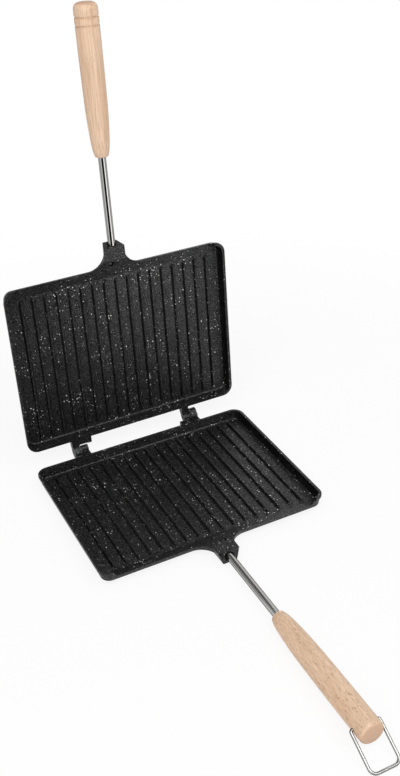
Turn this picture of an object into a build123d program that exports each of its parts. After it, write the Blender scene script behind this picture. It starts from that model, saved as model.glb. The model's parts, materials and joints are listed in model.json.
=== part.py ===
"""Hinged pie iron: two ribbed cast aluminium plates, each on a steel rod with a turned handle.

Both plates are one and the same casting.  The upper one is that casting turned half a turn
about its lengthwise axis, so its hinge lobes fall beside the lobes of the lower one.

Hinge frame: the hinge axis is the X axis, the parting plane is Z = 0 and the handles run
towards -Y.  Everything is drawn there and moved at the end, so that the origin of the part
is the centre of the flat underside of the lower plate.
"""

from build123d import *
import os
from math import atan, cos, degrees, radians, sin, tan

# ---- driving dimensions, millimetres and degrees ---------------------------------------

plate_width = 250.0          # across the pan, along X
plate_depth = 189.0          # front edge to rear rim, along Y
plate_height = 13.5          # parting plane to the flat outer floor
plate_corner = 12.0          # corner radius of the rim in plan
least_corner = 2.0           # smallest corner radius of any outline inside the rim
rim_width = 3.2              # flat top of the rim
rim_lip_height = 3.0         # straight band round the rim
rim_lip_step = 0.9           # how far that band stands proud of the wall below it
wall_taper = 9.0             # outer wall, degrees from upright
wall_draft = 9.0             # inner wall, degrees from upright
floor_thickness = 2.8
front_edge_thickness = 6.0   # the front has no wall: the floor rises to this thickness
front_ramp_length = 13.0     # front edge to the foot of that rise
front_opening_depth = 9.0    # front edge to the back of the gap in the wall
wall_end_inset = 19.0        # side of the plate to the foot of the wall's end, at the front
wall_end_lean = 30.0         # slope of the end of the wall, degrees from upright
rim_edge_round = 0.6
outer_edge_round = 2.0
inner_edge_round = 1.8

rib_count = 17
rib_pitch = 13.2
rib_height = 2.8
rib_base_width = 4.6
rib_crest_width = 1.7
rib_crest_round = 0.7
rib_front_setback = 15.6     # front edge to the foot of each rib
rib_rear_setback = 9.0       # rear rim to the foot of each rib

hinge_setback = 12.1         # rear rim to the hinge axis
hinge_half_spacing = 67.4    # centre plane to the joint face between a pair of lobes
lobe_width = 8.2
inner_lobe_radius = 4.0
outer_lobe_radius = 5.2
outer_lobe_nose = 3.0        # how far the outer lobe reaches on, past the hinge axis
outer_lobe_lift = 40.0       # direction of that nose, degrees above the parting plane
lobe_root_round = 3.0
lobe_foot_height = 3.0       # outer floor to the foot of each lobe
lobe_neck_lean = 40.0        # where the neck leaves the eye, degrees past straight down
hinge_pin_diameter = 3.2
pin_chamfer = 0.4
stake_diameter = 1.8         # punch mark in the lobe that grips the pin
stake_depth = 0.6
stake_lean = 35.0            # punch mark, degrees from upright towards the plate
guide_tab_width = 5.6
guide_tab_length = 7.6
guide_tab_thickness = 5.0
guide_tab_round = 0.8
hinge_step_length = 7.0      # low step that joins the guide tab to the outer lobe
hinge_root_drop = 0.8        # tops of tab, step and necks below the rim

rod_diameter = 8.0
rod_offset = 12.0            # parting plane to the rod axis
rod_exposed_length = 92.6    # lug face to the handle
rod_tang_length = 60.0       # rod inside the handle
rod_end_chamfer = 0.6
rod_end_setback = 0.8        # front edge to the inner end of the rod

lug_length = 22.8            # front edge to the back edge of the tip
lug_arm_width = 24.6         # at the inner face of the lug, next to the pan
lug_tip_width = 23.0         # the same at the tip
lug_root_depth = 4.0         # how far the lug runs in under the pan
lug_draft = 18.0             # sides of the lug, degrees from upright
lug_tip_lean = 12.0          # tip of the lug, degrees from square; longest at the back
lug_cover = 1.9              # metal between the rod and the inner face of the lug
lug_back_skin = 2.5          # metal between the rod and the back of the lug
lug_web_inset = 1.0          # side of the lug to the web that joins it to the pan
lug_root_round = 18.0
lug_back_round = 1.5
lug_fairing_length = 12.0    # run-out of the lug back under the floor
lug_mouth_diameter = 9.8     # relief round the rod where it leaves the lug
lug_mouth_depth = 2.0

rod_pin_diameter = 5.0       # cross pin beside the rod, seated in a notch in its flank
rod_pin_offset = 4.2         # rod axis to the pin axis
rod_pin_setback = 2.2        # front edge to the pin centre
rod_pin_length = 6.0
rod_pin_sunk = 0.4

upper_handle_length = 146.6
lower_handle_length = 150.4
handle_radius = 11.8
handle_nose_radius = 7.2     # at the rod end
handle_nose_round = 2.2
handle_nose_flare = 0.35     # growth in radius per length where the swell begins
handle_swell = ((0.06, 0.735), (0.14, 0.835), (0.26, 0.925), (0.42, 0.972), (0.62, 0.993))
handle_full_at = 0.8         # fraction of the length where the handle is fully round
upper_handle_end_round = 6.0
lower_handle_end_round = 3.2
upper_handle_dome = 0.5
lower_handle_dome = 0.8
groove_distances = (13.2, 21.0)   # from the free end of the upper handle
groove_width = 2.0
groove_depth = 0.7

bail_wire_diameter = 2.8
bail_pivot_from_end = 12.6   # free end of the lower handle to the bail pivot
bail_corner_round = 6.0
bail_shoulder_round = 2.0    # where each leg turns in to its pivot
bail_pivot_engagement = 5.8  # pivot inside the handle
bail_droop = 30.0            # below the handle axis, at rest

opening_angle = 94.0         # between the plates, at rest

# ---- clearances ------------------------------------------------------------------------

closed_gap = 0.3             # between the two rims when the pan is shut
lobe_gap = 0.4               # between the joint faces of a pair of lobes
guide_gap = 0.6              # between a guide tab and the lobe it steers
pin_fit = 0.04               # radial, hinge pin in its lobes
rod_fit = 0.04               # radial, rod in socket and handle
rod_pin_fit = 0.05           # radial, cross pin
bail_fit = 0.08              # radial, bail pivot in its handle hole
bail_side_gap = 0.35         # bail shoulder to the side of the handle
bail_swing_gap = 0.35        # bail bar past the rounded end of the upper handle
blind_gap = 0.5              # behind the end of a rod, pin or pivot in its hole
bite = 0.05                  # how far a cast feature is sunk into the wall it grows from
overrun = 4.0                # how far a cutting shape runs on past the metal

# ---- derived positions -----------------------------------------------------------------

rim_top = -closed_gap / 2
rear_rim = -hinge_setback
front_edge = rear_rim - plate_depth
plate_centre = (rear_rim + front_edge) / 2
floor_top = -plate_height + floor_thickness
ramp_foot = front_edge + front_ramp_length
ramp_slope = (front_edge_thickness - floor_thickness) / front_ramp_length
lug_face = front_edge - lug_length
lug_top = -rod_offset + rod_diameter / 2 + lug_cover
lug_back = -rod_offset - rod_diameter / 2 - lug_back_skin
wall_top = rim_top - rim_edge_round - bite
lug_tip_slope = tan(radians(lug_tip_lean))
lug_inner_face = lug_face + (lug_top - lug_back) * lug_tip_slope
lug_face_at_rod = lug_face + (-rod_offset - lug_back) * lug_tip_slope
rod_inner_end = front_edge - rod_end_setback
handle_face = lug_face_at_rod - rod_exposed_length
inner_lobe_span = (-hinge_half_spacing + lobe_gap / 2, -hinge_half_spacing + lobe_gap / 2 + lobe_width)
outer_lobe_span = (hinge_half_spacing + lobe_gap / 2, hinge_half_spacing + lobe_gap / 2 + lobe_width)
guide_tab_face = -inner_lobe_span[1] - guide_gap
guide_tab_span = (guide_tab_face - guide_tab_width, guide_tab_face)
hinge_step_span = (guide_tab_span[0], outer_lobe_span[1])
rod_pin_y = front_edge - rod_pin_setback
rod_pin_seat_radius = rod_pin_diameter / 2 + rod_pin_fit
rod_pin_top = floor_top + ramp_slope * (ramp_foot - rod_pin_y) - rod_pin_sunk
bail_radius = bail_wire_diameter / 2
bail_leg_x = handle_radius + bail_side_gap + bail_shoulder_round
bail_pivot_y = handle_face - lower_handle_length + bail_pivot_from_end


def bail_reach():
    """Pivot to bar centre: the bar just passes the rounded end of the shut upper handle."""
    upper_end = handle_face - upper_handle_length
    corner_y = bail_pivot_y - (upper_end + upper_handle_end_round)
    corner_z = 2 * rod_offset + handle_radius - upper_handle_end_round
    farthest = (corner_y**2 + corner_z**2) ** 0.5 + upper_handle_end_round
    over_top = 2 * rod_offset + handle_radius
    return max(farthest, over_top) + bail_radius + bail_swing_gap


def box_between(x_span, y_span, z_span):
    """Box between the given lower and upper coordinates."""
    sizes = [span[1] - span[0] for span in (x_span, y_span, z_span)]
    middles = [(span[0] + span[1]) / 2 for span in (x_span, y_span, z_span)]
    return Pos(*middles) * Box(*sizes)


def cylinder_along(direction, centre, radius, length):
    """Cylinder of the given radius and length centred on a point, along one direction."""
    return Plane(origin=centre, z_dir=direction) * Cylinder(radius, length)


def cylinder_between(axis, centre, span, radius):
    """Cylinder along one axis, between two coordinates; centre gives the other two."""
    length, middle = span[1] - span[0], (span[0] + span[1]) / 2
    if axis == "x":
        return cylinder_along((1, 0, 0), (middle, *centre), radius, length)
    if axis == "y":
        return cylinder_along((0, 1, 0), (centre[0], middle, centre[1]), radius, length)
    return cylinder_along((0, 0, 1), (*centre, middle), radius, length)


def edges_at_height(solid, height):
    """Edges of a solid that lie wholly in one horizontal plane."""
    return solid.edges().filter_by_position(Axis.Z, height - 0.01, height + 0.01)


# ---- plate casting ---------------------------------------------------------------------


def plan_outline(inset, height):
    """Rounded rim outline, moved inwards by an inset and set at one height."""
    corner = max(plate_corner - inset, least_corner)
    outline = RectangleRounded(plate_width - 2 * inset, plate_depth - 2 * inset, corner)
    return Pos(0, plate_centre, height) * outline


def below_ramp():
    """Everything under the plane on which the floor rises to the front edge and the lug."""
    far, deep = lug_face - overrun, -plate_height - overrun
    level = floor_top + ramp_slope * (ramp_foot - far)
    outline = [(ramp_foot, floor_top), (far, level), (far, deep), (ramp_foot, deep)]
    return extrude(make_face(Plane.YZ * Polyline(*outline, close=True)), amount=plate_width, both=True)


def front_opening():
    """The gap in the front wall: the wall ends slope down just round each front corner."""
    foot, depth = plate_width / 2 - wall_end_inset, plate_height
    spread = depth * tan(radians(wall_end_lean))
    outline = [(-foot, -depth), (foot, -depth), (foot + spread, 0), (-foot - spread, 0)]
    inside, outside = front_edge + front_opening_depth, lug_face - overrun / 2
    face = make_face(Plane.XZ.offset(-inside) * Polyline(*outline, close=True))
    gap = extrude(face, amount=inside - outside)
    over_lug_y = (outside, front_edge - rim_lip_step)
    over_lug = box_between((-plate_width, plate_width), over_lug_y, (lug_top, overrun))
    return (gap - below_ramp()) + over_lug


def lug_web_plan():
    """Plan of the web: an arm inside the outline of the lug, with concave rounds on to the pan."""
    arm = lug_arm_width / 2 - lug_web_inset
    root_y, wide = front_edge + rim_lip_step, arm + 2 * lug_root_round
    outline = [(-wide, ramp_foot), (-wide, root_y), (-arm, root_y), (-arm, lug_inner_face)]
    outline += [(arm, lug_inner_face), (arm, root_y), (wide, root_y), (wide, ramp_foot)]
    plan = make_face(Polyline(*outline, close=True))
    roots = [v for v in plan.vertices() if abs(v.Y - root_y) < 0.01 and abs(v.X) < wide - 0.01]
    return Pos(0, 0, wall_top) * fillet(roots, lug_root_round)


def beyond_tip():
    """Everything past the sloping tip of the lug."""
    top, foot, further = lug_top + overrun, lug_back - overrun, overrun * lug_tip_slope
    outside = lug_face - 2 * lug_arm_width
    outline = [(lug_inner_face + further, top), (lug_face - further, foot), (outside, foot)]
    face = make_face(Plane.YZ * Polyline(*outline, (outside, top), close=True))
    return extrude(face, amount=lug_arm_width, both=True)


def lug_block():
    """The deep part of the lug round the rod, run out under the floor by a sloping fairing."""
    tip, arm, depth = lug_tip_width / 2, lug_arm_width / 2, lug_top - lug_back
    narrowing = depth * tan(radians(lug_draft))
    block_end, tip_end = front_edge + lug_root_depth, lug_face - narrowing - overrun
    outline = [(-arm, block_end), (-tip, tip_end), (tip, tip_end), (arm, block_end)]
    plan = Pos(0, 0, lug_top) * make_face(Polyline(*outline, close=True))
    block = extrude(plan, amount=-depth, taper=lug_draft) - beyond_tip()
    block = fillet(edges_at_height(block, lug_back).filter_by(Axis.X, reverse=True), lug_back_round)
    half = arm - narrowing - lug_back_round
    run_out, inside = block_end + lug_fairing_length, floor_top - floor_thickness / 2
    slope = [(front_edge, lug_back), (run_out, -plate_height), (run_out, inside), (front_edge, inside)]
    return block + extrude(make_face(Plane.YZ * Polyline(*slope, close=True)), amount=half, both=True)


def tray():
    """Shallow pan, walled on three sides, its floor rising at the front and on to the lug."""
    band = extrude(plan_outline(0, rim_top), amount=-rim_lip_height)
    band = fillet(edges_at_height(band, rim_top), rim_edge_round)
    plan = plan_outline(rim_lip_step, wall_top) + lug_web_plan()
    wall = extrude(plan, amount=-plate_height - wall_top, taper=wall_taper)
    wall = fillet(edges_at_height(wall, -plate_height), outer_edge_round)
    hollow = extrude(plan_outline(rim_width, rim_top), amount=floor_top - rim_top, taper=wall_draft)
    hollow = fillet(edges_at_height(hollow, floor_top), inner_edge_round)
    ramp = below_ramp()
    return band + wall + lug_block() - (hollow - ramp) - front_opening()


def rib():
    """One grill rib with sloped flanks, rounded ends and a rounded crest, foot at Z = 0."""
    length = plate_depth - rib_front_setback - rib_rear_setback
    middle = (front_edge + rib_front_setback + rear_rim - rib_rear_setback) / 2
    flank = degrees(atan((rib_base_width - rib_crest_width) / 2 / rib_height))
    foot = Pos(0, middle) * SlotOverall(length, rib_base_width, rotation=90)
    body = extrude(foot, amount=rib_height, taper=flank)
    return fillet(edges_at_height(body, rib_height), rib_crest_round)


def ribs():
    """The row of ribs, sunk a little into the floor so that they join it."""
    first = -(rib_count - 1) * rib_pitch / 2
    one = rib()
    return [Pos(first + i * rib_pitch, 0, floor_top - bite) * one for i in range(rib_count)]


def rear_plan(x_span, y_tip):
    """Plan of a lobe on the rear wall, with concave rounds where it springs from it."""
    inside = rear_rim - rim_width / 2
    root = rear_rim - rim_lip_step
    left, right = x_span[0] - 2 * lobe_root_round, x_span[1] + 2 * lobe_root_round
    outline = [(left, root), (x_span[0], root), (x_span[0], y_tip), (x_span[1], y_tip)]
    outline += [(x_span[1], root), (right, root), (right, inside), (left, inside)]
    plan = make_face(Polyline(*outline, close=True))
    on_root = [v for v in plan.vertices() if abs(v.Y - root) < 0.01]
    return fillet([v for v in on_root if left + 0.01 < v.X < right - 0.01], lobe_root_round)


def lobe(x_span, radius, nose):
    """Hinge lobe: an eye round the hinge axis with a neck running down to the rear wall."""
    inside = rear_rim - rim_width / 2
    neck_top = rim_top - hinge_root_drop
    neck_foot = -plate_height + lobe_foot_height
    lean = radians(lobe_neck_lean)
    neck = [(-radius, 0), (-radius, neck_top), (inside, neck_top), (inside, neck_foot)]
    neck += [(rear_rim, neck_foot), (radius * sin(lean), -radius * cos(lean)), (0, 0)]
    eye = Circle(radius)
    profile = eye + make_face(Polyline(*neck, close=True))
    if nose:
        reach = Pos(nose / 2, 0) * Rectangle(nose, 2 * radius) + Pos(nose, 0) * Circle(radius)
        profile += Rot(0, 0, outer_lobe_lift) * reach
    left = x_span[0] - 2 * lobe_root_round
    width = x_span[1] - x_span[0] + 4 * lobe_root_round
    body = Pos(left, 0, 0) * extrude(Plane.YZ * profile, amount=width)
    tip = radius + nose + overrun
    return body & extrude(Pos(0, 0, -plate_height) * rear_plan(x_span, tip), amount=plate_height + tip)


def guide_tab():
    """Square tab that keeps the neighbouring lobe in line, and the low step beside it."""
    inside = rear_rim - rim_width / 2
    top = rim_top - hinge_root_drop
    heights = (top - guide_tab_thickness, top)
    tab = box_between(guide_tab_span, (inside, rear_rim + guide_tab_length), heights)
    tab = fillet(tab.edges().filter_by(Axis.Z).group_by(Axis.Y)[-1], guide_tab_round)
    return tab + box_between(hinge_step_span, (inside, rear_rim + hinge_step_length), heights)


def casting():
    """The cast plate, parting plane up, with every hole in it."""
    inner = lobe(inner_lobe_span, inner_lobe_radius, 0)
    outer = lobe(outer_lobe_span, outer_lobe_radius, outer_lobe_nose)
    body = tray() + ribs() + inner + outer + guide_tab()
    facing = (0, -sin(radians(stake_lean)), cos(radians(stake_lean)))
    for span, radius in ((inner_lobe_span, inner_lobe_radius), (outer_lobe_span, outer_lobe_radius)):
        middle = (span[0] + span[1]) / 2
        drilled = (span[0] - overrun / 2, span[1] + overrun / 2)
        body -= cylinder_between("x", (0, 0), drilled, hinge_pin_diameter / 2 + pin_fit)
        mark = (middle, facing[1] * radius, facing[2] * radius)
        body -= cylinder_along(facing, mark, stake_diameter / 2, 2 * stake_depth)
    outside = lug_face - overrun
    socket_span = (outside, rod_inner_end + blind_gap)
    mouth_span = (outside, lug_face_at_rod + lug_mouth_depth)
    pin_span = (rod_pin_top - rod_pin_length - blind_gap, 0)
    body -= cylinder_between("y", (0, -rod_offset), socket_span, rod_diameter / 2 + rod_fit)
    body -= cylinder_between("y", (0, -rod_offset), mouth_span, lug_mouth_diameter / 2)
    return body - cylinder_between("z", (rod_pin_offset, rod_pin_y), pin_span, rod_pin_seat_radius)


# ---- rods, pins and handles ------------------------------------------------------------


def rod():
    """Straight steel rod with chamfered ends and a notch in its flank for the cross pin."""
    span = (handle_face - rod_tang_length, rod_inner_end)
    bar = cylinder_between("y", (0, -rod_offset), span, rod_diameter / 2)
    bar = chamfer(bar.edges().filter_by(GeomType.CIRCLE), rod_end_chamfer)
    notch_span = (-rod_offset - rod_diameter, -rod_offset + rod_diameter)
    return bar - cylinder_between("z", (rod_pin_offset, rod_pin_y), notch_span, rod_pin_seat_radius)


def rod_pin():
    """Cross pin, driven in just below the inner face of the lug."""
    span = (rod_pin_top - rod_pin_length, rod_pin_top)
    pin = cylinder_between("z", (rod_pin_offset, rod_pin_y), span, rod_pin_diameter / 2)
    return chamfer(pin.faces().sort_by(Axis.Z)[-1].edges(), pin_chamfer)


def hinge_pin(side):
    """Pin through one pair of lobes, flush with their outer faces."""
    middle, half = side * hinge_half_spacing, lobe_width + lobe_gap / 2
    pin = cylinder_between("x", (0, 0), (middle - half, middle + half), hinge_pin_diameter / 2)
    return chamfer(pin.edges().filter_by(GeomType.CIRCLE), pin_chamfer)


def handle(length, end_round, dome):
    """Turned handle: slim rounded nose, slow swell, rounded free end, blind bore for the rod."""
    nose, cut = handle_nose_radius, handle_nose_round
    end = length - dome
    swell = [(handle_radius * r, length * t) for t, r in handle_swell]
    full = (handle_radius, length * handle_full_at)
    with BuildSketch() as profile:
        with BuildLine():
            Line((0, 0), (nose - cut, 0))
            RadiusArc((nose - cut, 0), (nose, cut), -cut)
            Spline((nose, cut), *swell, full, tangents=((handle_nose_flare, 1), (0, 1)))
            Line(full, (handle_radius, end - end_round))
            RadiusArc((handle_radius, end - end_round), (handle_radius - end_round, end), -end_round)
            Spline((handle_radius - end_round, end), (0, length), tangents=((-1, 0), (-1, 0)))
            Line((0, length), (0, 0))
        make_face()
    turned = Pos(0, handle_face, -rod_offset) * Rot(180, 0, 0) * revolve(profile.sketch, Axis.Y)
    bore_span = (handle_face - rod_tang_length - blind_gap, handle_face + overrun)
    return turned - cylinder_between("y", (0, -rod_offset), bore_span, rod_diameter / 2 + rod_fit)


def grooved_handle():
    """Upper handle with two shallow turned grooves near its free end."""
    body = handle(upper_handle_length, upper_handle_end_round, upper_handle_dome)
    for distance in groove_distances:
        middle = handle_face - upper_handle_length + distance
        span = (middle - groove_width / 2, middle + groove_width / 2)
        ring = cylinder_between("y", (0, -rod_offset), span, handle_radius + overrun)
        body -= ring - cylinder_between("y", (0, -rod_offset), span, handle_radius - groove_depth)
    return body


def bailed_handle():
    """Lower handle with a blind hole in each side for the bail."""
    body = handle(lower_handle_length, lower_handle_end_round, lower_handle_dome)
    bottom = handle_radius - bail_pivot_engagement - blind_gap
    for span in ((bottom, handle_radius + overrun), (-handle_radius - overrun, -bottom)):
        body -= cylinder_between("x", (bail_pivot_y, -rod_offset), span, bail_radius + bail_fit)
    return body


def bail():
    """Rectangular wire loop, both ends turned inwards as pivots, drooping from its pivots."""
    reach = bail_reach()
    inner = handle_radius - bail_pivot_engagement
    leg, turn, corner = bail_leg_x, bail_shoulder_round, bail_corner_round
    with BuildLine() as path:
        Line((-inner, 0), (-leg + turn, 0))
        RadiusArc((-leg + turn, 0), (-leg, -turn), -turn)
        Line((-leg, -turn), (-leg, -reach + corner))
        RadiusArc((-leg, -reach + corner), (-leg + corner, -reach), -corner)
        Line((-leg + corner, -reach), (leg - corner, -reach))
        RadiusArc((leg - corner, -reach), (leg, -reach + corner), -corner)
        Line((leg, -reach + corner), (leg, -turn))
        RadiusArc((leg, -turn), (leg - turn, 0), -turn)
        Line((leg - turn, 0), (inner, 0))
    section = Plane(origin=(-inner, 0, 0), z_dir=(-1, 0, 0)) * Circle(bail_radius)
    wire = sweep(section, path=path.wire())
    return Pos(0, bail_pivot_y, -rod_offset) * Rot(bail_droop, 0, 0) * wire


# ---- assembly --------------------------------------------------------------------------


def turned_over(solid):
    """A part of the lower half turned about the lengthwise axis on to the shut upper half."""
    return Rot(0, 180, 0) * solid


def swung_open(solid):
    """A part of the shut upper half swung open about the hinge axis."""
    return Rot(-opening_angle, 0, 0) * solid


def to_part_frame(solid):
    """From the hinge frame to the frame of the part."""
    return Pos(0, -plate_centre, plate_height) * solid


def all_parts():
    """Every named piece in the hinge frame, with the pan open."""
    plate = casting()
    bar = rod()
    lock = rod_pin()
    return {
        "lower_plate": plate,
        "upper_plate": swung_open(turned_over(plate)),
        "left_hinge_pin": hinge_pin(-1),
        "right_hinge_pin": hinge_pin(1),
        "lower_rod": bar,
        "upper_rod": swung_open(turned_over(bar)),
        "lower_rod_pin": lock,
        "upper_rod_pin": swung_open(turned_over(lock)),
        "lower_handle": bailed_handle(),
        "upper_handle": swung_open(turned_over(grooved_handle())),
        "handle_bail": bail(),
    }


os.makedirs("parts", exist_ok=True)
for name, solid in all_parts().items():
    export_step(to_part_frame(solid), f"parts/{name}.step")
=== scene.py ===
"""Pie iron: coats the castings, plates the rods and the bail, finishes the beech grips.

Laid out as an add-on and run as a script.  Every shape comes from the frame; this file
gives each piece its finish and sets up the floor, the lamps, the room and the camera.
"""

import json
import math

import bmesh
import bpy
from mathutils import Matrix, Vector


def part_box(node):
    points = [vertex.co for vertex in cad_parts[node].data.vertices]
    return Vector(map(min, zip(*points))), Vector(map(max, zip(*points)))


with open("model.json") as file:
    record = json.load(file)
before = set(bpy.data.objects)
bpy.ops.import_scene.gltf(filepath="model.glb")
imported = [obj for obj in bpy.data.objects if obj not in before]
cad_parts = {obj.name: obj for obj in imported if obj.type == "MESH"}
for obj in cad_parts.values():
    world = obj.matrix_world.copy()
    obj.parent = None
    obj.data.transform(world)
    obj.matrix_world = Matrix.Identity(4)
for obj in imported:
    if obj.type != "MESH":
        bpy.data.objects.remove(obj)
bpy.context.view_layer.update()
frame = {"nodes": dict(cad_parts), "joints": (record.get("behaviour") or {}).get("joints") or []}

bl_info = {
    "name": "Pie iron",
    "version": (1, 0, 0),
    "blender": (4, 5, 0),
    "location": "View3D > Sidebar > Pie iron",
    "description": "Finishes, floor, lamps and camera for a hinged pie iron",
    "category": "Object",
}

MM = 0.001

# ---- places ----------------------------------------------------------------------------

HINGE = next(joint for joint in frame["joints"] if joint["name"] == "plate_hinge")
HINGE_Y = HINGE["pos_m"][1]
UPPER_TURN = -math.radians(HINGE["range_deg"][1])    # turn of the upper half from shut, about X
EDGE_TO_HINGE = 12.1 * MM                            # rear edge of a plate to the hinge line
UPPER_ROD_Y = sum(corner.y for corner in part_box("upper_rod")) / 2     # middle of it, standing open

# Each cross pin: the turn of its half about X, and how far the pale middle of its end lies off its axis
# before that turn, so that the painted shadow of its seat falls more on one side.
ROD_PINS = {
    "lower_rod_pin": (0.0, (-0.4 * MM, 0.3 * MM, 0.0)),
    "upper_rod_pin": (UPPER_TURN, (-0.6 * MM, -0.33 * MM, 0.0)),
}

KEY_PLACE = (-1.1, -1.9, 2.8)             # large soft box, in front on the left
KEY_SIDE = 3.0
EDGE_PLACE = (0.7, -1.4, 1.75)            # small soft box, in front on the right
EDGE_SIDE = 0.4
LAMP_TARGET = (0.0, 0.0, 0.15)            # what both soft boxes are turned to

SHADED_TO = 0.3                           # up to here the floor shows most of the object's shadow
WHITE_FROM = 0.8                          # from here on it is plain white
LEAST_GLOW = 0.86                         # share of plain white where the shadow shows most

CARD_REACH = 0.36                         # upper rod to the cards that it mirrors
CARD_HEIGHTS = (0.03, 0.34)               # lower and upper edge of those cards
FLAG_REACH = 0.6                          # upper rod to the flag behind it, on the left
FLAG_HEIGHTS = (0.2, 1.2)                 # lower and upper edge of the flag
CARD_STRIPS = 8                           # flat strips that make up a curved card

CAMERA_PLACE = (-0.3541, -0.7938, 0.6859)
CAMERA_TURN = (57.203, 1.677, -27.14)     # degrees about X, Y and Z
CAMERA_SHIFT = (-0.0039, 0.0046)
SENSOR_WIDTH = 36
NEAREST_SEEN = 0.01                       # what stands nearer to the camera is left out


# ---- small helpers ---------------------------------------------------------------------


def linear(code):
    """Colour as Blender wants it, from an sRGB hex code."""
    parts = [int(code[i : i + 2], 16) / 255 for i in (0, 2, 4)]
    return [p / 12.92 if p <= 0.04045 else ((p + 0.055) / 1.055) ** 2.4 for p in parts]


def opaque(colour):
    """Three colour values with a full alpha."""
    return (*colour, 1.0)


def scale_of(size):
    """Texture scale that gives a pattern cells of this size."""
    return 1 / size


def scale_along(across, length):
    """Texture scale for cells that are drawn out along Y."""
    return scale_of(across), scale_of(length), scale_of(across)


def node(tree, kind, inputs=None, **settings):
    """Adds one node, with its settings and with a value or a link for each input."""
    made = tree.nodes.new(kind)
    for name, value in settings.items():
        setattr(made, name, value)
    for key, value in (inputs or {}).items():
        if isinstance(value, bpy.types.NodeSocket):
            tree.links.new(value, made.inputs[key])
        else:
            made.inputs[key].default_value = value
    return made


def new_material(name):
    """An empty node material, and its tree."""
    material = bpy.data.materials.new(name)
    material.use_nodes = True
    material.node_tree.nodes.clear()
    return material, material.node_tree


def give(node_name, material):
    """Puts one material on a node of the frame."""
    slots = frame["nodes"][node_name].data.materials
    slots.clear()
    slots.append(material)


# ---- settings --------------------------------------------------------------------------


class PieIronFinish(bpy.types.PropertyGroup):
    """Colours, pattern sizes and polish of the finishes."""

    coating_dark: bpy.props.FloatVectorProperty(name="Coating, dark", subtype="COLOR", size=3,
        description="Darkest cloud of the coating", default=linear("0c0c0c"), min=0, max=1)
    coating_light: bpy.props.FloatVectorProperty(name="Coating, light", subtype="COLOR", size=3,
        description="Lightest cloud of the coating", default=linear("161617"), min=0, max=1)
    # Painted shade, drawn on steep flanks and in the dark ring round the cross pins' ends
    coating_painted_shade: bpy.props.FloatVectorProperty(name="Coating, thin", subtype="COLOR", size=3,
        description="Steep sides and crevices, which the spray hardly reaches",
        default=linear("030303"), min=0, max=1)
    # Pale middle of the cross pins' ends, round which the shadow of their seat is painted
    pin_end_unshaded: bpy.props.FloatVectorProperty(name="Coating, worn", subtype="COLOR", size=3,
        description="Middle of the cross pins' ends", default=linear("2b2b2c"), min=0, max=1)
    coating_roughness: bpy.props.FloatProperty(name="Coating, roughness", subtype="FACTOR",
        description="Satin of the coating", default=0.36, min=0, max=1)
    cloud_size: bpy.props.FloatProperty(name="Clouds", unit="LENGTH", subtype="DISTANCE",
        description="Width of a cloud in the coating", default=22 * MM, min=1 * MM)
    grit_size: bpy.props.FloatProperty(name="Grit", unit="LENGTH", subtype="DISTANCE",
        description="Width of a grain in the coating", default=1.2 * MM, min=0.1 * MM)
    fleck_colour: bpy.props.FloatVectorProperty(name="Flecks", subtype="COLOR", size=3,
        description="Pale flecks in the coating", default=linear("f4f4f1"), min=0, max=1)
    fleck_pitch: bpy.props.FloatProperty(name="Fleck pitch", unit="LENGTH", subtype="DISTANCE",
        description="Size of the cell that holds one fleck", default=2.9 * MM, min=1 * MM)
    swarm_size: bpy.props.FloatProperty(name="Fleck swarms", unit="LENGTH", subtype="DISTANCE",
        description="Width of a cluster of flecks", default=30 * MM, min=1 * MM)

    beech_dark: bpy.props.FloatVectorProperty(name="Beech, dark", subtype="COLOR", size=3,
        description="Late wood", default=linear("dab799"), min=0, max=1)
    beech_light: bpy.props.FloatVectorProperty(name="Beech, light", subtype="COLOR", size=3,
        description="Early wood", default=linear("e9ccb1"), min=0, max=1)
    end_grain: bpy.props.FloatVectorProperty(name="End grain", subtype="COLOR", size=3,
        description="Sawn ends of the grips", default=linear("cfab90"), min=0, max=1)
    ray_colour: bpy.props.FloatVectorProperty(name="Rays", subtype="COLOR", size=3,
        description="Short brown rays in the beech", default=linear("8f6a4c"), min=0, max=1)
    lower_fibre: bpy.props.FloatProperty(name="Fibres, lower grip", unit="LENGTH", subtype="DISTANCE",
        description="Length of a streak where the grain slants out of the grip", default=8 * MM, min=1 * MM)
    upper_fibre: bpy.props.FloatProperty(name="Fibres, upper grip", unit="LENGTH", subtype="DISTANCE",
        description="Length of a streak where the grain runs straight", default=40 * MM, min=1 * MM)
    lower_rays: bpy.props.FloatProperty(name="Rays, lower grip", subtype="FACTOR",
        description="Strength of the rays, whose side of the blank is in front", default=0.55, min=0, max=1)
    upper_rays: bpy.props.FloatProperty(name="Rays, upper grip", subtype="FACTOR",
        description="Strength of the rays, whose side of the blank is turned away", default=0.2, min=0,
        max=1)
    beech_roughness: bpy.props.FloatProperty(name="Beech, roughness", subtype="FACTOR",
        description="Sanded and oiled, but not varnished", default=0.52, min=0, max=1)

    rod_tint: bpy.props.FloatVectorProperty(name="Rods", subtype="COLOR", size=3,
        description="Nickel-chrome plate on the rods", default=linear("b4b3b1"), min=0, max=1)
    rod_roughness: bpy.props.FloatProperty(name="Rods, roughness", subtype="FACTOR",
        description="Polish of the rods", default=0.06, min=0, max=1)
    wire_tint: bpy.props.FloatVectorProperty(name="Bail", subtype="COLOR", size=3,
        description="Zinc plate on the bail", default=linear("8e8e8c"), min=0, max=1)
    wire_roughness: bpy.props.FloatProperty(name="Bail, roughness", subtype="FACTOR",
        description="Polish of the bail", default=0.12, min=0, max=1)
    pin_tint: bpy.props.FloatVectorProperty(name="Hinge pins", subtype="COLOR", size=3,
        description="Plain steel of the hinge pins", default=linear("6d6c6a"), min=0, max=1)
    pin_roughness: bpy.props.FloatProperty(name="Hinge pins, roughness", subtype="FACTOR",
        description="Polish of the hinge pins", default=0.35, min=0, max=1)
    edge_tint: bpy.props.FloatVectorProperty(name="Metal, grazing", subtype="COLOR", size=3,
        description="Tint of what the metals mirror at a grazing angle", default=linear("616161"),
        min=0, max=1)


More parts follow.
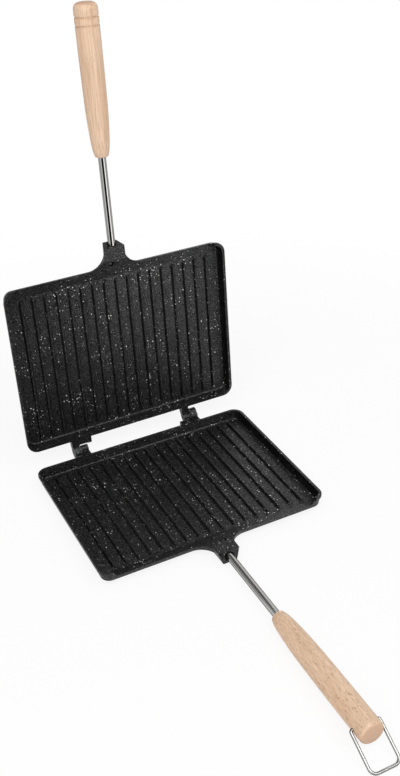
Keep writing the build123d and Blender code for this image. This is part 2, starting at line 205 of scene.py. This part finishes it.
class PieIronStage(bpy.types.PropertyGroup):
    """Floor, lamps, room and lens."""

    floor_reach: bpy.props.FloatProperty(name="Floor", unit="LENGTH", subtype="DISTANCE",
        description="Distance from the middle to the edge of the floor", default=6.0, min=1.0)
    floor_slope: bpy.props.FloatProperty(name="Floor slope", unit="ROTATION", subtype="ANGLE",
        description="Slope of the floor, which the iron rests on with its rear edge and its bail",
        default=math.radians(2.3))
    lens: bpy.props.FloatProperty(name="Lens", unit="CAMERA", description="Focal length",
        default=48.1, min=10)
    key_watts: bpy.props.FloatProperty(name="Key lamp", unit="POWER", description="Main soft box",
        default=74.0, min=0)
    edge_watts: bpy.props.FloatProperty(name="Edge lamp", unit="POWER",
        description="Small soft box that draws bright lines along the rims", default=6.0, min=0)
    sky: bpy.props.FloatProperty(name="Room light", description="Even light of the white room",
        default=0.45, min=0)


# ---- finishes --------------------------------------------------------------------------

# Noise stays between 0.3 and 0.7 for the most part, so each pattern stretches that range.


def flecks(tree, place, pitch, crowd, radius, shade):
    """Strength of round flecks: one at most per cell of the pitch, more of them where crowd is high.

    radius gives the least and the greatest as shares of the pitch, and shade the strengths.
    """
    cells = node(tree, "ShaderNodeTexVoronoi", {"Vector": place, "Scale": scale_of(pitch)})
    chance = node(tree, "ShaderNodeSeparateColor", {"Color": cells.outputs["Color"]})
    present = node(tree, "ShaderNodeMath", {0: chance.outputs["Red"], 1: crowd}, operation="LESS_THAN")
    size = node(tree, "ShaderNodeMath", {0: chance.outputs["Green"], 1: 2.0}, operation="POWER")
    reach = node(tree, "ShaderNodeMapRange", {"Value": size.outputs["Value"], "To Min": radius[0],
        "To Max": radius[1]})
    inside = node(tree, "ShaderNodeMath", {0: cells.outputs["Distance"], 1: reach.outputs["Result"]},
        operation="LESS_THAN")
    fleck = node(tree, "ShaderNodeMath", {0: inside.outputs["Value"], 1: present.outputs["Value"]},
        operation="MULTIPLY")
    light = node(tree, "ShaderNodeMapRange", {"Value": chance.outputs["Blue"], "To Min": shade[0],
        "To Max": shade[1]})
    return node(tree, "ShaderNodeMath", {0: fleck.outputs["Value"], 1: light.outputs["Result"]},
        operation="MULTIPLY").outputs["Value"]


def sprayed_coating(settings):
    """Charcoal non-stick coating sprayed on cast aluminium: satin, grained, with pale flecks."""
    material, tree = new_material("sprayed_nonstick_coating")
    coords = node(tree, "ShaderNodeTexCoord")
    place = coords.outputs["Object"]

    # The spray leaves soft cloudy patches about a finger wide.
    clouds = node(tree, "ShaderNodeTexNoise", {"Vector": place, "Scale": scale_of(settings.cloud_size),
        "Detail": 2.0})
    body = node(tree, "ShaderNodeMix", {"Factor": clouds.outputs["Fac"],
        "A": opaque(settings.coating_dark), "B": opaque(settings.coating_light)}, data_type="RGBA")

    # Grit in the coating; real grit is 0.1 mm, drawn over ten times coarser so that it shows.
    grit = node(tree, "ShaderNodeTexNoise", {"Vector": place, "Scale": scale_of(settings.grit_size),
        "Detail": 2.0})
    grain = node(tree, "ShaderNodeMapRange", {"Value": grit.outputs["Fac"], "From Min": 0.38,
        "From Max": 0.62})
    grain_shade = node(tree, "ShaderNodeMapRange", {"Value": grain.outputs["Result"], "To Min": 0.35,
        "To Max": 2.1})
    grained = node(tree, "ShaderNodeMix", {"Factor": 1.0, "A": body.outputs["Result"],
        "B": grain_shade.outputs["Result"]}, data_type="RGBA", blend_type="MULTIPLY")

    # Pale flecks, thrown in loose swarms: fine dust, and larger drops among it.
    swarm = node(tree, "ShaderNodeTexNoise", {"Vector": place, "Scale": scale_of(settings.swarm_size),
        "Detail": 1.0})
    dusty = node(tree, "ShaderNodeMapRange", {"Value": swarm.outputs["Fac"], "From Min": 0.35,
        "From Max": 0.65, "To Min": 0.25, "To Max": 0.8})
    crowded = node(tree, "ShaderNodeMapRange", {"Value": swarm.outputs["Fac"], "From Min": 0.38,
        "From Max": 0.66, "To Min": 0.1, "To Max": 0.75})
    dust = flecks(tree, place, settings.fleck_pitch / 2, dusty.outputs["Result"],
        radius=(0.14, 0.34), shade=(0.02, 0.22))
    drops = flecks(tree, place, settings.fleck_pitch, crowded.outputs["Result"],
        radius=(0.11, 0.23), shade=(0.6, 1.0))
    fleck = node(tree, "ShaderNodeMath", {0: dust, 1: drops}, operation="MAXIMUM")
    flecked = node(tree, "ShaderNodeMix", {"Factor": fleck.outputs["Value"],
        "A": grained.outputs["Result"], "B": opaque(settings.fleck_colour)}, data_type="RGBA")

    # Painted shade: the flanks of ribs, side walls and lugs, which face along X, are drawn
    # darker and with less gloss.
    facing = node(tree, "ShaderNodeSeparateXYZ", {"Vector": coords.outputs["Normal"]})
    steep = node(tree, "ShaderNodeMath", {0: facing.outputs["X"], 1: 2.0}, operation="POWER")
    unshaded_share = node(tree, "ShaderNodeMapRange", {"Value": steep.outputs["Value"], "From Min": 0.25,
        "From Max": 0.75, "To Min": 1.0, "To Max": 0.5})
    flanks_shaded = node(tree, "ShaderNodeMix", {"Factor": unshaded_share.outputs["Result"],
        "A": opaque(settings.coating_painted_shade), "B": flecked.outputs["Result"]}, data_type="RGBA")

    # Sprayed film over sand-cast metal: a fine orange peel, glossier on top of the grit.
    shine = node(tree, "ShaderNodeMapRange", {"Value": grain.outputs["Result"], "To Min": 0.14,
        "To Max": 0.64})
    # The painted shade on the flanks also takes away up to half their gloss.
    gloss = node(tree, "ShaderNodeMath", {0: shine.outputs["Result"], 1: unshaded_share.outputs["Result"]},
        operation="MULTIPLY")
    peel = node(tree, "ShaderNodeBump", {"Height": grit.outputs["Fac"], "Strength": 0.8,
        "Distance": 0.3 * MM})
    shader = node(tree, "ShaderNodeBsdfPrincipled", {"Base Color": flanks_shaded.outputs["Result"],
        "Roughness": settings.coating_roughness, "Specular IOR Level": gloss.outputs["Value"],
        "Normal": peel.outputs["Normal"]})
    node(tree, "ShaderNodeOutputMaterial", {"Surface": shader.outputs["BSDF"]})
    return material


def peened_pin(name, settings, centre, axis):
    """Coated end of a driven pin: a pale middle inside a painted shadow, a dark ring where its seat lies in
    shade.
    """
    material, tree = new_material(name)
    place = node(tree, "ShaderNodeTexCoord").outputs["Object"]
    aside = node(tree, "ShaderNodeVectorMath", {0: place, 1: centre}, operation="SUBTRACT")
    lever = node(tree, "ShaderNodeVectorMath", {0: aside.outputs["Vector"], 1: axis},
        operation="CROSS_PRODUCT")
    radius = node(tree, "ShaderNodeVectorMath", {0: lever.outputs["Vector"]}, operation="LENGTH")

    # The pin is 5 mm thick, and its pale middle fades into the painted shadow at a little over half of
    # that.
    unshaded_end = node(tree, "ShaderNodeMapRange", {"Value": radius.outputs["Value"], "From Min": 1.0 * MM,
        "From Max": 1.5 * MM, "To Min": 1.0, "To Max": 0.0}, interpolation_type="SMOOTHSTEP")
    body = node(tree, "ShaderNodeMix", {"Factor": unshaded_end.outputs["Result"],
        "A": opaque(settings.coating_painted_shade), "B": opaque(settings.pin_end_unshaded)}, data_type="RGBA")
    gloss = node(tree, "ShaderNodeMath", {0: unshaded_end.outputs["Result"], 1: 0.4}, operation="MULTIPLY")
    shader = node(tree, "ShaderNodeBsdfPrincipled", {"Base Color": body.outputs["Result"],
        "Roughness": 0.45, "Specular IOR Level": gloss.outputs["Value"]})
    node(tree, "ShaderNodeOutputMaterial", {"Surface": shader.outputs["BSDF"]})
    return material


def drawn_steel(name, tint, roughness, edge_tint):
    """Drawn steel, plated or plain: an even mirror, a little smeared by handling."""
    material, tree = new_material(name)
    place = node(tree, "ShaderNodeTexCoord").outputs["Object"]

    # Smears are as wide as a fingertip.
    smears = node(tree, "ShaderNodeTexNoise", {"Vector": place, "Scale": scale_of(14 * MM), "Detail": 3.0})
    smeared = node(tree, "ShaderNodeMapRange", {"Value": smears.outputs["Fac"], "From Min": 0.3,
        "From Max": 0.7, "To Min": 0.7 * roughness, "To Max": 1.4 * roughness})
    shader = node(tree, "ShaderNodeBsdfPrincipled", {"Base Color": opaque(tint), "Metallic": 1.0,
        "Roughness": smeared.outputs["Result"], "Specular Tint": opaque(edge_tint)})
    node(tree, "ShaderNodeOutputMaterial", {"Surface": shader.outputs["BSDF"]})
    return material


def turned_beech(name, settings, turn, fibre, ray_strength):
    """Steamed beech, turned and sanded: pinkish straw, fine pores, short brown rays.

    turn is the angle about X from the Y axis to the grip, which the grain follows.
    fibre is the length of a streak.
    """
    material, tree = new_material(name)
    coords = node(tree, "ShaderNodeTexCoord")
    along = node(tree, "ShaderNodeVectorRotate", {"Vector": coords.outputs["Object"], "Angle": -turn},
        rotation_type="X_AXIS").outputs["Vector"]

    # Growth rings pass lengthwise as broad, faint bands.
    bands_at = node(tree, "ShaderNodeVectorMath", {0: along, 1: scale_along(9 * MM, 90 * MM)},
        operation="MULTIPLY")
    bands = node(tree, "ShaderNodeTexNoise", {"Vector": bands_at.outputs["Vector"], "Scale": 1.0,
        "Detail": 3.0})
    early = node(tree, "ShaderNodeMapRange", {"Value": bands.outputs["Fac"], "From Min": 0.3,
        "From Max": 0.7})
    body = node(tree, "ShaderNodeMix", {"Factor": early.outputs["Result"],
        "A": opaque(settings.beech_dark), "B": opaque(settings.beech_light)}, data_type="RGBA")

    # Fibres and pores: real ones are 0.1 mm wide, drawn at 1 mm so that they show as fine streaks.
    # A streak darkens the body, and its blue the most; the two values are factors, not colours.
    fibre_at = node(tree, "ShaderNodeVectorMath", {0: along, 1: scale_along(1.0 * MM, fibre)},
        operation="MULTIPLY")
    fibres = node(tree, "ShaderNodeTexNoise", {"Vector": fibre_at.outputs["Vector"], "Scale": 1.0,
        "Detail": 4.0})
    smooth = node(tree, "ShaderNodeMapRange", {"Value": fibres.outputs["Fac"], "From Min": 0.32,
        "From Max": 0.6})
    fibre_shade = node(tree, "ShaderNodeMix", {"Factor": smooth.outputs["Result"],
        "A": opaque((0.82, 0.77, 0.72)), "B": opaque((1.06, 1.06, 1.06))}, data_type="RGBA")
    streaked = node(tree, "ShaderNodeMix", {"Factor": 1.0, "A": body.outputs["Result"],
        "B": fibre_shade.outputs["Result"]}, data_type="RGBA", blend_type="MULTIPLY")

    # Rays: brown spindles up to 3 mm long, the mark of beech, drawn twice as wide as real ones.
    # One cell in ten has none.
    ray_at = node(tree, "ShaderNodeVectorMath", {0: along, 1: scale_along(1.6 * MM, 4.5 * MM)},
        operation="MULTIPLY")
    rays = node(tree, "ShaderNodeTexVoronoi", {"Vector": ray_at.outputs["Vector"], "Scale": 1.0})
    chance = node(tree, "ShaderNodeSeparateColor", {"Color": rays.outputs["Color"]})
    ray_size = node(tree, "ShaderNodeMapRange", {"Value": chance.outputs["Red"], "From Min": 0.1,
        "To Max": 0.32})
    ray = node(tree, "ShaderNodeMath", {0: rays.outputs["Distance"], 1: ray_size.outputs["Result"]},
        operation="LESS_THAN")
    ray_depth = node(tree, "ShaderNodeMath", {0: ray.outputs["Value"], 1: ray_strength},
        operation="MULTIPLY")
    rayed = node(tree, "ShaderNodeMix", {"Factor": ray_depth.outputs["Value"],
        "A": streaked.outputs["Result"], "B": opaque(settings.ray_colour)}, data_type="RGBA")

    # End grain is darker and pinker, because it drinks the finish.
    faces = node(tree, "ShaderNodeVectorRotate", {"Vector": coords.outputs["Normal"], "Angle": -turn},
        rotation_type="X_AXIS")
    split = node(tree, "ShaderNodeSeparateXYZ", {"Vector": faces.outputs["Vector"]})
    square = node(tree, "ShaderNodeMath", {0: split.outputs["Y"], 1: 2.0}, operation="POWER")
    end = node(tree, "ShaderNodeMapRange", {"Value": square.outputs["Value"], "From Min": 0.35,
        "From Max": 0.9})
    wood = node(tree, "ShaderNodeMix", {"Factor": end.outputs["Result"], "A": rayed.outputs["Result"],
        "B": opaque(settings.end_grain)}, data_type="RGBA")

    pores = node(tree, "ShaderNodeBump", {"Height": fibres.outputs["Fac"], "Strength": 0.25,
        "Distance": 0.15 * MM})
    shader = node(tree, "ShaderNodeBsdfPrincipled", {"Base Color": wood.outputs["Result"],
        "Roughness": settings.beech_roughness, "Specular IOR Level": 0.4,
        "Normal": pores.outputs["Normal"]})
    node(tree, "ShaderNodeOutputMaterial", {"Surface": shader.outputs["BSDF"]})
    return material


# ---- stage -----------------------------------------------------------------------------


def seen(tree):
    """1 for a ray from the camera, or one that a mirror or a clear body sends on, else 0."""
    path = node(tree, "ShaderNodeLightPath")
    straight = node(tree, "ShaderNodeMath", {0: path.outputs["Is Camera Ray"],
        1: path.outputs["Is Glossy Ray"]}, operation="MAXIMUM")
    return node(tree, "ShaderNodeMath", {0: straight.outputs["Value"],
        1: path.outputs["Is Transmission Ray"]}, operation="MAXIMUM").outputs["Value"]


def floor_paint():
    """White board: plain white further off, and shaded by the object only close to it."""
    material, tree = new_material("matt_white_board")
    place = node(tree, "ShaderNodeTexCoord").outputs["Object"]
    distance = node(tree, "ShaderNodeVectorMath", {0: place}, operation="LENGTH").outputs["Value"]
    glowing = node(tree, "ShaderNodeMapRange", {"Value": distance, "From Min": SHADED_TO,
        "From Max": WHITE_FROM, "To Min": LEAST_GLOW, "To Max": 1.0}, interpolation_type="SMOOTHSTEP")
    board = node(tree, "ShaderNodeBsdfDiffuse", {"Color": opaque(linear("fafafa"))})
    glow = node(tree, "ShaderNodeEmission", {"Color": opaque(linear("ffffff")), "Strength": 1.0})
    share = node(tree, "ShaderNodeMath", {0: seen(tree), 1: glowing.outputs["Result"]},
        operation="MULTIPLY")
    mixed = node(tree, "ShaderNodeMixShader", {0: share.outputs["Value"], 1: board.outputs["BSDF"],
        2: glow.outputs["Emission"]})
    node(tree, "ShaderNodeOutputMaterial", {"Surface": mixed.outputs["Shader"]})
    return material


def lay_floor(stage):
    """Floor with a very low crown under the hinge: the iron stands on it shut, open or laid flat."""
    mesh = bmesh.new()
    rows = []
    for y in (-stage.floor_reach, HINGE_Y - EDGE_TO_HINGE, HINGE_Y + EDGE_TO_HINGE, stage.floor_reach):
        down_slope = abs(y - HINGE_Y) - EDGE_TO_HINGE
        height = -math.tan(stage.floor_slope) * down_slope
        rows.append([mesh.verts.new((x, y, height)) for x in (-stage.floor_reach, stage.floor_reach)])
    for near, far in zip(rows, rows[1:]):
        mesh.faces.new((near[0], near[1], far[1], far[0]))
    data = bpy.data.meshes.new("floor")
    mesh.to_mesh(data)
    mesh.free()
    data.materials.append(floor_paint())
    floor = bpy.data.objects.new("floor", data)
    bpy.context.scene.collection.objects.link(floor)


def hang_lamp(name, place, side, watts):
    """One square soft box, turned to the object."""
    lamp = bpy.data.lights.new(name, "AREA")
    lamp.shape = "SQUARE"
    lamp.size = side
    lamp.energy = watts
    holder = bpy.data.objects.new(name, lamp)
    holder.location = place
    holder.rotation_euler = (Vector(LAMP_TARGET) - Vector(place)).to_track_quat("-Z", "Y").to_euler()
    bpy.context.scene.collection.objects.link(holder)


def hang_lamps(stage):
    """A large soft box in front on the left, and a small one on the right that lights the edges."""
    hang_lamp("key_lamp", KEY_PLACE, KEY_SIDE, stage.key_watts)
    hang_lamp("edge_lamp", EDGE_PLACE, EDGE_SIDE, stage.edge_watts)


def stand_card(name, start, end, shade, reach=CARD_REACH, heights=CARD_HEIGHTS):
    """Curved upright card round the upper rod, between two bearings, that only mirrors see.

    Bearings are in degrees from the line to the camera, to the right as the camera sees it.
    """
    material, tree = new_material(name)
    paint = node(tree, "ShaderNodeEmission", {"Color": opaque(linear("ffffff")), "Strength": shade})
    node(tree, "ShaderNodeOutputMaterial", {"Surface": paint.outputs["Emission"]})
    ahead = math.atan2(CAMERA_PLACE[1] - UPPER_ROD_Y, CAMERA_PLACE[0])
    step = (end - start) / CARD_STRIPS
    turns = [ahead + math.radians(start + step * i) for i in range(CARD_STRIPS + 1)]
    corners = [(reach * math.cos(turn), UPPER_ROD_Y + reach * math.sin(turn), height)
        for turn in turns for height in heights]
    faces = [(2 * i, 2 * i + 2, 2 * i + 3, 2 * i + 1) for i in range(CARD_STRIPS)]
    data = bpy.data.meshes.new(name)
    data.from_pydata(corners, [], faces)
    data.materials.append(material)
    card = bpy.data.objects.new(name, data)
    card.visible_camera = False
    card.visible_diffuse = False
    card.visible_shadow = False
    card.visible_transmission = False
    bpy.context.scene.collection.objects.link(card)


def stand_cards():
    """Cards that draw the stripes down the polished upper rod, and a flag for the lower plate's gloss."""
    stand_card("black_card", start=-27, end=27, shade=0.01)
    stand_card("bright_card", start=29, end=60, shade=2.0)
    stand_card("left_grey_card", start=-100, end=-62, shade=0.5)
    stand_card("right_grey_card", start=62, end=100, shade=0.45)
    stand_card("rear_flag", start=176, end=262, shade=0.15, reach=FLAG_REACH, heights=FLAG_HEIGHTS)


def paint_room(stage):
    """White room: white where it is seen or mirrored, dimmer where it lights the object."""
    world = bpy.data.worlds.new("white_room")
    bpy.context.scene.world = world
    world.use_nodes = True
    tree = world.node_tree
    tree.nodes.clear()
    strength = node(tree, "ShaderNodeMapRange", {"Value": seen(tree), "To Min": stage.sky,
        "To Max": 1.0})
    light = node(tree, "ShaderNodeBackground", {"Color": opaque(linear("ffffff")),
        "Strength": strength.outputs["Result"]})
    node(tree, "ShaderNodeOutputWorld", {"Surface": light.outputs["Background"]})


def place_camera(stage):
    """Camera in front on the left, looking down at about 33 degrees."""
    lens = bpy.data.cameras.new("camera")
    lens.lens = stage.lens
    lens.sensor_width = SENSOR_WIDTH
    lens.clip_start = NEAREST_SEEN
    lens.shift_x, lens.shift_y = CAMERA_SHIFT
    camera = bpy.data.objects.new("camera", lens)
    camera.location = CAMERA_PLACE
    camera.rotation_euler = [math.radians(angle) for angle in CAMERA_TURN]
    bpy.context.scene.collection.objects.link(camera)
    bpy.context.scene.camera = camera
    bpy.context.scene.view_settings.view_transform = "Standard"


# ---- operators -------------------------------------------------------------------------


class PIEIRON_OT_castings(bpy.types.Operator):
    """Coats the two plates"""

    bl_idname = "pieiron.castings"
    bl_label = "Coat the plates"

    def execute(self, context):
        coating = sprayed_coating(context.scene.pieiron_finish)
        for name in ("lower_plate", "upper_plate"):
            give(name, coating)
        return {"FINISHED"}


class PIEIRON_OT_rod_pins(bpy.types.Operator):
    """Coats the cross pins that lock the rods in their lugs"""

    bl_idname = "pieiron.rod_pins"
    bl_label = "Coat the cross pins"

    def execute(self, context):
        for name, (turn, off_axis) in ROD_PINS.items():
            half = Matrix.Rotation(turn, 3, "X")
            low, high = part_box(name)
            centre = (low + high) / 2 + half @ Vector(off_axis)
            axis = half @ Vector((0, 0, 1))
            give(name, peened_pin(f"coated_{name}", context.scene.pieiron_finish, centre, axis))
        return {"FINISHED"}


class PIEIRON_OT_hinge_pins(bpy.types.Operator):
    """Gives the hinge pins their dull steel"""

    bl_idname = "pieiron.hinge_pins"
    bl_label = "Finish the hinge pins"

    def execute(self, context):
        finish = context.scene.pieiron_finish
        steel = drawn_steel("dull_pin_steel", finish.pin_tint, finish.pin_roughness, finish.edge_tint)
        for name in ("left_hinge_pin", "right_hinge_pin"):
            give(name, steel)
        return {"FINISHED"}


class PIEIRON_OT_rods(bpy.types.Operator):
    """Plates the two rods"""

    bl_idname = "pieiron.rods"
    bl_label = "Plate the rods"

    def execute(self, context):
        finish = context.scene.pieiron_finish
        steel = drawn_steel("bright_plated_bar", finish.rod_tint, finish.rod_roughness, finish.edge_tint)
        for name in ("lower_rod", "upper_rod"):
            give(name, steel)
        return {"FINISHED"}


class PIEIRON_OT_grips(bpy.types.Operator):
    """Gives the two grips their beech"""

    bl_idname = "pieiron.grips"
    bl_label = "Finish the grips"

    def execute(self, context):
        finish = context.scene.pieiron_finish
        lower = turned_beech("turned_beech_lower", finish, 0.0, finish.lower_fibre, finish.lower_rays)
        upper = turned_beech("turned_beech_upper", finish, UPPER_TURN, finish.upper_fibre,
            finish.upper_rays)
        give("lower_handle", lower)
        give("upper_handle", upper)
        return {"FINISHED"}


class PIEIRON_OT_bail(bpy.types.Operator):
    """Plates the wire bail"""

    bl_idname = "pieiron.bail"
    bl_label = "Plate the bail"

    def execute(self, context):
        finish = context.scene.pieiron_finish
        steel = drawn_steel("zinc_plated_wire", finish.wire_tint, finish.wire_roughness, finish.edge_tint)
        give("handle_bail", steel)
        return {"FINISHED"}


class PIEIRON_OT_stage(bpy.types.Operator):
    """Builds the floor, the lamps, the white room, its cards and the camera"""

    bl_idname = "pieiron.stage"
    bl_label = "Set the stage"

    def execute(self, context):
        stage = context.scene.pieiron_stage
        lay_floor(stage)
        hang_lamps(stage)
        paint_room(stage)
        stand_cards()
        place_camera(stage)
        return {"FINISHED"}


OPERATORS = (PIEIRON_OT_castings, PIEIRON_OT_rod_pins, PIEIRON_OT_hinge_pins, PIEIRON_OT_rods,
    PIEIRON_OT_grips, PIEIRON_OT_bail, PIEIRON_OT_stage)


class PIEIRON_PT_sidebar(bpy.types.Panel):
    """Lists the operators and their settings"""

    bl_label = "Pie iron"
    bl_idname = "PIEIRON_PT_sidebar"
    bl_space_type = "VIEW_3D"
    bl_region_type = "UI"
    bl_category = "Pie iron"

    def draw(self, context):
        for operator in OPERATORS:
            self.layout.operator(operator.bl_idname)
        for group in (context.scene.pieiron_finish, context.scene.pieiron_stage):
            for name in group.bl_rna.properties.keys():
                if name not in ("rna_type", "name"):
                    self.layout.prop(group, name)


# ---- registration and run --------------------------------------------------------------

CLASSES = (PieIronFinish, PieIronStage, *OPERATORS, PIEIRON_PT_sidebar)


def register():
    """Registers the classes and hangs the settings on the scene."""
    for kind in CLASSES:
        bpy.utils.register_class(kind)
    bpy.types.Scene.pieiron_finish = bpy.props.PointerProperty(type=PieIronFinish)
    bpy.types.Scene.pieiron_stage = bpy.props.PointerProperty(type=PieIronStage)


def unregister():
    """Takes the settings off the scene and unregisters the classes."""
    del bpy.types.Scene.pieiron_stage
    del bpy.types.Scene.pieiron_finish
    for kind in reversed(CLASSES):
        bpy.utils.unregister_class(kind)


def main():
    """Registers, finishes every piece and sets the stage."""
    register()
    bpy.ops.pieiron.castings()
    bpy.ops.pieiron.rod_pins()
    bpy.ops.pieiron.hinge_pins()
    bpy.ops.pieiron.rods()
    bpy.ops.pieiron.grips()
    bpy.ops.pieiron.bail()
    bpy.ops.pieiron.stage()


if __name__ == "__main__":
    main()
